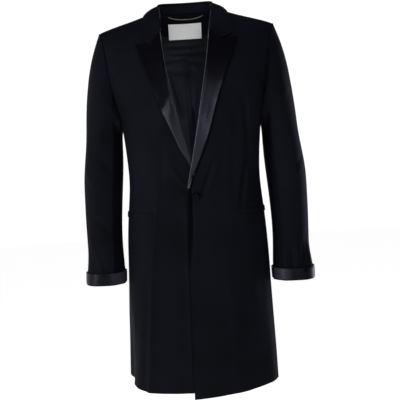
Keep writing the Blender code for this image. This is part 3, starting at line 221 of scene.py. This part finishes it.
# Wrinkles of the back lining, seen from the front: start x, z, end x, z, half width, height
LINING_WRINKLES = (
    (-0.070, -0.046, 0.030, -0.044, 0.0040, 0.0050),
    (-0.052, -0.066, 0.062, -0.060, 0.0045, 0.0060),
    (-0.078, -0.084, -0.004, -0.076, 0.0040, 0.0045),
    (-0.012, -0.082, 0.050, -0.096, 0.0045, 0.0055),
    (-0.080, -0.104, 0.006, -0.118, 0.0045, 0.0045),
    (-0.006, -0.100, 0.022, -0.124, 0.0040, 0.0040),
    (-0.052, -0.112, -0.022, -0.240, 0.0050, 0.0060),
    (-0.050, -0.190, -0.030, -0.380, 0.0045, 0.0045),
    (-0.008, -0.110, 0.000, -0.300, 0.0045, -0.0050),
    (0.028, -0.112, 0.006, -0.300, 0.0050, 0.0060),
    (0.036, -0.170, 0.014, -0.390, 0.0045, 0.0045),
    (-0.090, -0.210, -0.075, -0.520, 0.0080, 0.0035),
    (0.080, -0.230, 0.092, -0.560, 0.0080, 0.0035),
    (-0.060, -0.450, -0.050, -0.800, 0.0080, 0.0040),
    (0.055, -0.470, 0.062, -0.820, 0.0080, 0.0040),
)


def ramp(value, start, end):
    """0 at start and 1 at end, with soft shoulders."""
    share = np.clip((value - start) / (end - start), 0.0, 1.0)
    return share * share * (3.0 - 2.0 * share)


def fold_height(across, up, folds):
    """Height of a table's folds over spots of cloth laid flat, each fading out at its ends."""
    total = np.zeros(len(across))
    for start_across, start_up, end_across, end_up, half_width, height in folds:
        run = np.array((end_across - start_across, end_up - start_up))
        spots = np.stack((across - start_across, up - start_up), axis=1)
        share = np.clip(spots @ run / (run @ run), 0.0, 1.0)
        off = np.linalg.norm(spots - share[:, None] * run, axis=1)
        total += height * np.sin(math.pi * share) ** 0.7 * np.exp(-(off / half_width) ** 2)
    return total


def slack(across, up, amount):
    """The slight unevenness of hanging cloth: a few slow waves that never repeat together."""
    waves = sum(np.sin(across * a + up * b + phase) for a, b, phase in SLACK_WAVES)
    return amount * waves / len(SLACK_WAVES)


def unrolled(table, radius):
    """A fold table with its turns as lengths round a tube."""
    degree = math.radians(radius)
    return [(a * degree, b, c * degree, d, width, height) for a, b, c, d, width, height in table]


def press_body(spots):
    """Folds and slack of the body, moved out from its middle line."""
    turn = np.arctan2(spots[:, 0], -spots[:, 1])
    across = turn * BODY_RADIUS
    calm = ramp(spots[:, 2], *BODY_CALM)
    height = fold_height(across, spots[:, 2], unrolled(BODY_FOLDS, BODY_RADIUS))
    height += slack(across, spots[:, 2], BODY_SLACK) * ramp(np.abs(across), *BACK_CALM)
    return spots + out_of_body(spots) * (height * calm)[:, None]


def close_seams(spots):
    """A panel let out a little at both sides, so that its stitched seams show no light."""
    turn = np.arctan2(spots[:, 0], -spots[:, 1])
    if turn.max() - turn.min() > math.pi:
        turn = np.where(turn < 0.0, turn + 2.0 * math.pi, turn)
    middle = (turn.max() + turn.min()) / 2.0
    share = np.clip((turn - middle) / (turn.max() - middle), -1.0, 1.0)
    level = np.linalg.norm(spots[:, :2], axis=1)
    wider = turn + SEAM_LET_OUT * share / level
    return np.stack((np.sin(wider) * level, -np.cos(wider) * level, spots[:, 2]), axis=1)


def press_sleeve(spots, column, folds):
    """Folds and slack of one sleeve, moved out from its middle line."""
    line = np.array(SLEEVE_LINE)
    middle_x = np.interp(spots[:, 2], line[:, 0], line[:, column])
    middle_y = np.interp(spots[:, 2], line[:, 0], line[:, 3])
    away = np.stack(((spots[:, 0] - middle_x) * np.sign(middle_x), spots[:, 1] - middle_y), axis=1)
    turn = np.arctan2(-away[:, 1], away[:, 0])
    across = turn * SLEEVE_RADIUS
    calm = ramp(spots[:, 2], *SLEEVE_CALM)
    height = fold_height(across, spots[:, 2], unrolled(folds, SLEEVE_RADIUS))
    uneven = slack(across * CLOSER_ACROSS, spots[:, 2] * CLOSER_UP, SLEEVE_SLACK)
    height += uneven * ramp(np.abs(turn), *SLEEVE_INSIDE_CALM)
    flare = ramp(spots[:, 2], *ELBOW_FADE) + ramp(spots[:, 2], *WRIST_FADE)
    height += SLEEVE_FLARE[column] * flare * ramp(np.cos(turn), 0.0, 1.0)
    out = np.stack((np.cos(turn) * np.sign(middle_x), -np.sin(turn), np.zeros(len(turn))), axis=1)
    return spots + out * (height * calm)[:, None]


def press_lining(spots):
    """The lining's wrinkles stand forward, clear of the wool behind, and its pleat lies down."""
    height = fold_height(spots[:, 0], spots[:, 2], LINING_WRINKLES)
    pleat = np.exp(-(spots[:, 0] / PLEAT_HALF_WIDTH) ** 2) * ramp(spots[:, 2], *PLEAT_FADE)
    height -= PLEAT_DROP * pleat
    moved = spots.copy()
    moved[:, 1] -= height * ramp(spots[:, 2], *WRINKLE_FADE)
    return moved


def out_of_body(spots):
    """The level way out from the body's middle line."""
    turn = np.arctan2(spots[:, 0], -spots[:, 1])
    return np.stack((np.sin(turn), -np.cos(turn), np.zeros(len(turn))), axis=1)


def edge_lines(spots, side):
    """Heights up one side of a piece, and how far out its inner and outer edges lie there."""
    across = spots[:, 0] * side
    levels, inner, outer = [], [], []
    for level in EDGE_LEVELS:
        near = across[(np.abs(spots[:, 2] - level) < EDGE_BAND) & (across > -PAST_MIDDLE)]
        if len(near) > 1:
            levels.append(level)
            inner.append(near.min())
            outer.append(near.max())
    return np.array((levels, inner, outer))


def lapel_share(spots, side, lines):
    """0 at a lapel's roll and 1 at its outer edge."""
    inner = np.interp(spots[:, 2], lines[0], lines[1])
    outer = np.interp(spots[:, 2], lines[0], lines[2])
    return np.clip((spots[:, 0] * side - inner) / np.maximum(outer - inner, LEAST_WIDTH), 0.0, 1.0)


def lift_lapel(spots, name):
    """A lapel stands off the chest towards its outer edge, and the left one is cut narrower."""
    side, lines = LAPEL_SIDES[name], edge_lines(spots, LAPEL_SIDES[name])
    share = lapel_share(spots, side, lines)
    moved = spots + out_of_body(spots) * (LAPEL_LIFT * share ** 2)[:, None]
    width = np.interp(spots[:, 2], lines[0], lines[2] - lines[1])
    trim = np.minimum(LAPEL_TRIM[name], width * TRIM_SHARE) * ramp(spots[:, 2], *TRIM_FADE)
    moved[:, 0] -= side * trim * share
    return moved


def undercut(spots, name, lapel):
    """The chest drops away in a narrow dark line along the lapel that lies over it."""
    outer = np.interp(spots[:, 2], *edge_lines(lapel, LAPEL_SIDES[name])[[0, 2]])
    off = spots[:, 0] * LAPEL_SIDES[name] - outer - UNDERCUT_SET
    within = ramp(spots[:, 2], *UNDERCUT_TOP) * ramp(spots[:, 2], *UNDERCUT_FOOT)
    depth = UNDERCUT_DEPTH * np.exp(-(off / UNDERCUT_WIDTH) ** 2) * within
    return spots - out_of_body(spots) * depth[:, None]


def mesh_values(items, field):
    """A field of all a mesh's points or faces as rows of three."""
    values = np.empty(len(items) * 3)
    items.foreach_get(field, values)
    return values.reshape(len(items), 3)


def trim_edges(piece, name):
    """A pale strip of painted highlight along the roll; a lapel's cut edge and its underside show the
    wool.

    The piece's own finish is slot 0 already.
    """
    wool_slot, highlight_slot = 1, 2
    centres = mesh_values(piece.data.polygons, "center")
    normals = mesh_values(piece.data.polygons, "normal")
    points = mesh_values(piece.data.vertices, "co")
    finish = np.zeros(len(centres), int)
    facing = (out_of_body(centres) * normals).sum(axis=1)
    for side in (1.0, -1.0) if name == "collar_fall" else (LAPEL_SIDES[name],):
        edges = points
        if name == "collar_fall":
            edges = points[(points[:, 1] < COLLAR_FRONT) & (points[:, 0] * side > 0.0)]
        lines = edge_lines(edges, side)
        along = centres[:, 0] * side - np.interp(centres[:, 2], lines[0], lines[1])
        on_side = (centres[:, 1] < ROLL_FRONT) & (centres[:, 0] * side > -ROLL_PAST_MIDDLE)
        # Painted highlight: a pale strip along the roll
        finish[on_side & (along < ROLL_STRIP) & (facing > 0.0)] = highlight_slot
        if name in LAPEL_SIDES:
            cut = lapel_share(centres, side, lines) > CUT_SHARE
            finish[cut & (facing < CUT_FACING)] = wool_slot
    piece.data.materials.append(FINISHES["wool"])
    piece.data.materials.append(FINISHES["roll_highlight_satin"])
    piece.data.polygons.foreach_set("material_index", finish)


def press(piece, name, pieces):
    """Move a finished shell's points by the folds of the part of the coat it belongs to."""
    spots = mesh_values(piece.data.vertices, "co")
    if name.startswith(("sleeve_left", "cuff_left")):
        spots = press_sleeve(spots, 1, LEFT_SLEEVE_FOLDS)
    elif name.startswith(("sleeve_right", "cuff_right")):
        spots = press_sleeve(spots, 2, RIGHT_SLEEVE_FOLDS)
    else:
        if name == "back_lining":
            spots = press_lining(spots)
        if name.startswith("pocket"):
            spots = spots - out_of_body(spots) * POCKET_SINK
        if name in LAPEL_SIDES:
            spots = lift_lapel(spots, name)
        if name == "front_left":
            spots = undercut(spots, "lapel_left", mesh_values(pieces["lapel_left"].data.vertices, "co"))
        spots = press_body(spots)
        if name.startswith(("side", "back_left", "back_right")):
            spots = close_seams(spots)
    piece.data.vertices.foreach_set("co", spots.ravel())
    piece.data.update()


def from_hex(code, alpha=1.0):
    """An sRGB hex colour as the linear colour that shaders take."""
    channels = [int(code[i:i + 2], 16) / 255.0 for i in (0, 2, 4)]
    linear = [c / 12.92 if c <= 0.04045 else ((c + 0.055) / 1.055) ** 2.4 for c in channels]
    return (*linear, alpha)


def add_node(tree, kind, values=None, links=None, **settings):
    """A shader node with its settings, its socket values and the links into it."""
    node = tree.nodes.new(kind)
    for key, value in settings.items():
        setattr(node, key, value)
    for socket, value in (values or {}).items():
        node.inputs[socket].default_value = value
    for socket, source in (links or {}).items():
        tree.links.new(source, node.inputs[socket])
    return node


def new_material(name):
    """A material with its node tree and its surface shader."""
    material = bpy.data.materials.new(name)
    material.use_nodes = True
    tree = material.node_tree
    return material, tree, tree.nodes["Principled BSDF"]


def add_wave(tree, where, spacing, direction, distortion):
    """Even ridges a given number of millimetres apart, seldom quite straight."""
    reach = math.sqrt(3.0) if direction == "DIAGONAL" else 2.0
    return add_node(
        tree, "ShaderNodeTexWave",
        {"Scale": math.pi / (5.0 * reach * spacing * MM), "Distortion": distortion, "Detail": 1.0},
        {"Vector": where}, bands_direction=direction)


def add_noise(tree, where, scale, detail):
    """Soft clouds, with a given number of them to the metre."""
    return add_node(tree, "ShaderNodeTexNoise", {"Scale": scale, "Detail": detail}, {"Vector": where})


def add_blend(tree, factor, dark, light, low=0.3, high=0.7):
    """A colour between two, by a texture's value."""
    blend = add_node(tree, "ShaderNodeValToRGB", None, {"Fac": factor})
    blend.color_ramp.elements[0].position = low
    blend.color_ramp.elements[0].color = from_hex(dark)
    blend.color_ramp.elements[1].position = high
    blend.color_ramp.elements[1].color = from_hex(light)
    return blend.outputs["Color"]


def add_relief(tree, shader, height, strength, depth):
    """Surface relief of a given depth in millimetres."""
    relief = add_node(
        tree, "ShaderNodeBump", {"Strength": strength, "Distance": depth * MM}, {"Height": height})
    tree.links.new(relief.outputs["Normal"], shader.inputs["Normal"])


def barathea_wool():
    """Worsted barathea: matt, near black with a blue cast, a fine broken twill to the surface."""
    material, tree, shader = new_material("black_worsted_barathea")
    where = add_node(tree, "ShaderNodeTexCoord").outputs["Object"]
    twill = add_wave(tree, where, TWILL_SPACING, "DIAGONAL", 1.5)
    cloud = add_noise(tree, where, 9.0, 4.0)
    colour = add_blend(tree, cloud.outputs["Fac"], "08090d", "0d0e15")
    tree.links.new(colour, shader.inputs["Base Color"])
    add_relief(tree, shader, twill.outputs["Fac"], 0.35, 0.2)
    shader.inputs["Roughness"].default_value = 0.70
    shader.inputs["Specular IOR Level"].default_value = 0.035
    shader.inputs["Sheen Weight"].default_value = 0.012
    shader.inputs["Sheen Roughness"].default_value = 0.40
    shader.inputs["Sheen Tint"].default_value = from_hex("9a9dc4")
    return material


def silk_satin(name, shine, roughness=0.22, reflection_colour=None):
    """Silk-faced satin: smooth floats of thread that catch the light in broad soft bands.

    With a second colour it turns paler towards the coat: a painted reflection of light on a cuff's inner
    end.
    """
    material, tree, shader = new_material(name)
    where = add_node(tree, "ShaderNodeTexCoord").outputs["Object"]
    floats = add_wave(tree, where, SATIN_SPACING, "Z", 3.0)
    ripple = add_noise(tree, where, 26.0, 2.0)
    both = add_node(
        tree, "ShaderNodeMath", {1: 0.25}, {0: floats.outputs["Fac"], 2: ripple.outputs["Fac"]},
        operation="MULTIPLY_ADD")
    add_relief(tree, shader, both.outputs["Value"], 0.30, 0.5)
    shader.inputs["Base Color"].default_value = from_hex(SATIN_BLACK)
    # Painted reflection: the base colour turns paler towards the coat
    if reflection_colour:
        across = add_node(tree, "ShaderNodeSeparateXYZ", None, {"Vector": where})
        out = add_node(
            tree, "ShaderNodeMath", None, {0: across.outputs["X"]}, operation="ABSOLUTE")
        near = add_node(
            tree, "ShaderNodeMapRange", {"From Min": CUFF_MIDDLE, "From Max": CUFF_INSIDE},
            {"Value": out.outputs["Value"]})
        colour = add_blend(tree, near.outputs["Result"], SATIN_BLACK, reflection_colour, 0.0, 1.0)
        tree.links.new(colour, shader.inputs["Base Color"])
    shader.inputs["Roughness"].default_value = roughness
    shader.inputs["Specular IOR Level"].default_value = shine
    shader.inputs["Specular Tint"].default_value = from_hex("e2e2ff")
    return material


def roll_highlight_satin():
    """Satin along a roll, paler in colour: a painted highlight for the shine that catches its fold."""
    material, tree, shader = new_material("black_silk_satin_painted_highlight")
    where = add_node(tree, "ShaderNodeTexCoord").outputs["Object"]
    highlight_flecks = add_noise(tree, where, 90.0, 2.0)
    # Pale colours of the painted highlight
    tree.links.new(add_blend(tree, highlight_flecks.outputs["Fac"], "2a2a32", "3c3c46"), shader.inputs["Base Color"])
    shader.inputs["Roughness"].default_value = 0.50
    shader.inputs["Specular IOR Level"].default_value = 0.20
    return material


def lining_satin():
    """Rayon lining: thin navy satin, smooth and soft in its shine."""
    material, tree, shader = new_material("navy_rayon_lining")
    where = add_node(tree, "ShaderNodeTexCoord").outputs["Object"]
    cloud = add_noise(tree, where, 14.0, 3.0)
    colour = add_blend(tree, cloud.outputs["Fac"], "16181d", "1e2129")
    tree.links.new(colour, shader.inputs["Base Color"])
    add_relief(tree, shader, cloud.outputs["Fac"], 0.25, 2.0)
    shader.inputs["Roughness"].default_value = 0.42
    shader.inputs["Specular IOR Level"].default_value = 0.03
    return material


def woven_ribbon():
    """Taffeta ribbon: plain white weave with a soft, even surface."""
    material, tree, shader = new_material("white_taffeta_ribbon")
    where = add_node(tree, "ShaderNodeTexCoord").outputs["Object"]
    rib = add_wave(tree, where, RIBBON_SPACING, "X", 0.4)
    tree.links.new(add_blend(tree, rib.outputs["Fac"], "f1f0ea", "fbfaf6"), shader.inputs["Base Color"])
    add_relief(tree, shader, rib.outputs["Fac"], 0.4, 0.15)
    shader.inputs["Roughness"].default_value = 0.75
    shader.inputs["Specular IOR Level"].default_value = 0.2
    return material


def gold_braid():
    """Corded braid of dull gold and olive thread, twisted round a core."""
    material, tree, shader = new_material("olive_gold_corded_braid")
    where = add_node(tree, "ShaderNodeTexCoord").outputs["Object"]
    twist = add_wave(tree, where, BRAID_SPACING, "DIAGONAL", 0.3)
    colour = add_blend(tree, twist.outputs["Fac"], "3c3822", "7e795c", 0.2, 0.8)
    tree.links.new(colour, shader.inputs["Base Color"])
    add_relief(tree, shader, twist.outputs["Fac"], 0.8, 0.5)
    shader.inputs["Roughness"].default_value = 0.45
    return material


FINISHES = {
    "wool": barathea_wool(),
    "satin": silk_satin("black_silk_faced_satin", 0.36),
    # The cuffs' paler colour towards the body is a painted reflection
    "cuff_satin_painted_reflection": silk_satin("black_silk_satin_painted_reflection", 0.12, 0.34, "2c2c36"),
    "button_satin": silk_satin("black_silk_button_cover", 0.05),
    "roll_highlight_satin": roll_highlight_satin(),
    "lining": lining_satin(),
    "ribbon": woven_ribbon(),
    "braid": gold_braid(),
}


def copy_of_node(name):
    """A node's mesh as one clean quad shell, with its rims marked to stay sharp."""
    shape = bmesh.new()
    shape.from_mesh(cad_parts[name].data)
    bmesh.ops.remove_doubles(shape, verts=shape.verts, dist=WELD)
    bmesh.ops.join_triangles(
        shape, faces=shape.faces, angle_face_threshold=QUAD_FACES, angle_shape_threshold=QUAD_SHAPES)
    crease = shape.edges.layers.float.new("crease_edge")
    for edge in shape.edges:
        if len(edge.link_faces) == 2 and edge.calc_face_angle() > RIM_ANGLE:
            edge[crease] = 1.0
    return shape


def smooth_shell(name, levels):
    """The node's shell with its facets rounded away by subdivision."""
    mesh = bpy.data.meshes.new(name + "_cloth")
    shape = copy_of_node(name)
    shape.to_mesh(mesh)
    shape.free()
    piece = bpy.data.objects.new(name + "_cloth", mesh)
    bpy.context.scene.collection.objects.link(piece)
    rounding = piece.modifiers.new("rounding", "SUBSURF")
    rounding.levels = levels
    rounding.render_levels = levels
    rounding.boundary_smooth = "PRESERVE_CORNERS"
    bpy.context.view_layer.update()
    graph = bpy.context.evaluated_depsgraph_get()
    rounded = bpy.data.meshes.new_from_object(piece.evaluated_get(graph))
    rounded.name = name + "_cloth"
    piece.modifiers.clear()
    piece.data = rounded
    bpy.data.meshes.remove(mesh)
    rounded.polygons.foreach_set("use_smooth", [True] * len(rounded.polygons))
    rounded.set_sharp_from_angle(angle=SHARP_ANGLE)
    return piece


def dress_cloth():
    """Each soft node's shell, smoothed, folded and given its finish."""
    pieces = {}
    for name, finish, levels, width, length, area, held, carrier in CLOTH:
        piece = smooth_shell(name, levels)
        press(piece, name, pieces)
        piece.data.materials.append(FINISHES[finish])
        if name in LAPEL_SIDES or name == "collar_fall":
            trim_edges(piece, name)
        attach(piece, "root")
        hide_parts(name)
        pieces[name] = piece
    return pieces


def dress_node(name, finish):
    """A node whose shape is right gets its real finish."""
    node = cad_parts[name]
    node.data.materials.clear()
    node.data.materials.append(FINISHES[finish])


# The camera stands level with the chest, two metres off, and leans a little to the right.
CAMERA_PLACE = Vector((0.0, -2.0, -0.300))
CAMERA_TARGET = Vector((0.0101, 0.0, -0.3990))
CAMERA_LEAN = math.radians(2.804)
CAMERA_LENS = 70.7
CAMERA_SHIFT = -0.05
SENSOR_WIDTH = 36.0

FLOOR_Z = -1.60
FLOOR_RADIUS = 9.0
FLOOR_GLOW = 0.92

# White studio light by its direction: how much the side counts beside the front, how far the
# front raises the fade, and the heights between which the light fades from bright to dim
SIDE_SHARE = -0.5
FRONT_RAISE = {"From Min": -1.1, "From Max": 0.3, "To Min": 0.62, "To Max": 0.0}
HEIGHT_FADE = {"From Min": 0.22, "From Max": 0.42, "To Min": 1.05, "To Max": 0.02}


def set_camera():
    """The photograph's view."""
    data = bpy.data.cameras.new("photograph_view")
    data.lens = CAMERA_LENS
    data.sensor_width = SENSOR_WIDTH
    data.shift_y = CAMERA_SHIFT
    camera = bpy.data.objects.new("photograph_view", data)
    camera.location = CAMERA_PLACE
    camera.rotation_mode = "QUATERNION"
    turn = (CAMERA_TARGET - CAMERA_PLACE).to_track_quat("-Z", "Y")
    camera.rotation_quaternion = turn @ Quaternion((0.0, 0.0, 1.0), -CAMERA_LEAN)
    bpy.context.scene.collection.objects.link(camera)
    bpy.context.scene.camera = camera


def set_floor():
    """Pale studio paper, lit through so that it is as white as the wall behind."""
    shape = bmesh.new()
    bmesh.ops.create_circle(shape, cap_ends=True, segments=64, radius=FLOOR_RADIUS)
    bmesh.ops.translate(shape, verts=shape.verts, vec=(0.0, 0.0, FLOOR_Z))
    mesh = bpy.data.meshes.new("studio_floor")
    shape.to_mesh(mesh)
    shape.free()
    floor = bpy.data.objects.new("studio_floor", mesh)
    material, _, shader = new_material("pale_studio_paper")
    shader.inputs["Base Color"].default_value = from_hex("c8c8c8")
    shader.inputs["Roughness"].default_value = 0.9
    shader.inputs["Emission Color"].default_value = from_hex("ffffff")
    shader.inputs["Emission Strength"].default_value = FLOOR_GLOW
    floor.data.materials.append(material)
    bpy.context.scene.collection.objects.link(floor)


def set_world():
    """White light from below, dark overhead; the dark comes lowest in front of the coat's left."""
    world = bpy.data.worlds.new("studio")
    bpy.context.scene.world = world
    world.use_nodes = True
    tree = world.node_tree
    tree.nodes.clear()
    where = add_node(tree, "ShaderNodeTexCoord")
    parts = add_node(tree, "ShaderNodeSeparateXYZ", None, {"Vector": where.outputs["Generated"]})
    away = add_node(
        tree, "ShaderNodeMath", {1: SIDE_SHARE}, {0: parts.outputs["X"], 2: parts.outputs["Y"]},
        operation="MULTIPLY_ADD")
    nearer = add_node(
        tree, "ShaderNodeMapRange", FRONT_RAISE, {"Value": away.outputs["Value"]})
    level = add_node(
        tree, "ShaderNodeMath", None, {0: parts.outputs["Z"], 1: nearer.outputs["Result"]},
        operation="ADD")
    height = add_node(
        tree, "ShaderNodeMapRange", HEIGHT_FADE, {"Value": level.outputs["Value"]},
        interpolation_type="SMOOTHSTEP")
    light = add_node(
        tree, "ShaderNodeBackground", {"Color": from_hex("ffffff")},
        {"Strength": height.outputs["Result"]})
    add_node(tree, "ShaderNodeOutputWorld", None, {"Surface": light.outputs["Background"]})
    bpy.context.scene.view_settings.view_transform = "Standard"


def add_light(name, place, target, size, power, colour):
    """A soft box with its place, what it points at, its sides in metres and its watts."""
    data = bpy.data.lights.new(name, "AREA")
    data.shape = "RECTANGLE"
    data.size, data.size_y = size
    data.energy = power
    data.color = from_hex(colour)[:3]
    light = bpy.data.objects.new(name, data)
    light.location = place
    light.rotation_mode = "QUATERNION"
    light.rotation_quaternion = (Vector(target) - Vector(place)).to_track_quat("-Z", "Y")
    light.visible_camera = False
    bpy.context.scene.collection.objects.link(light)
    return light


def set_lights():
    """Soft boxes: left, over the camera, above, behind at the right, and two faint ones inside.

    The one above is kept out of the satin's reflections, which are dark at the peaks.
    """
    middle = (0.0, 0.0, -0.45)
    add_light("left_box", (-1.9, -1.5, -0.25), middle, (0.9, 1.4), 34.0, "f4faff")
    add_light("front_fill", (0.2, -2.5, -0.05), middle, (0.7, 0.7), 9.0, "f4faff")
    above = add_light("top_box", (0.4, -0.8, 1.8), (0.0, 0.0, -0.05), (1.0, 0.6), 36.0, "f4faff")
    above.visible_glossy = False
    add_light("right_rim", (1.6, 0.9, -0.60), middle, (0.4, 1.2), 12.0, "d0dcff")
    add_light("inside_fill", (0.0, 0.0, -0.28), (0.0, 0.1, -0.29), (0.08, 0.24), 0.07, "f4faff")
    add_light("neck_fill", (0.0, -0.045, 0.012), (0.0, 0.1, -0.035), (0.08, 0.02), 0.065, "f4faff")


set_camera()
set_floor()
set_world()
set_lights()
dress_cloth()
dress_node("button", "button_satin")
dress_node("hanger_loop", "braid")
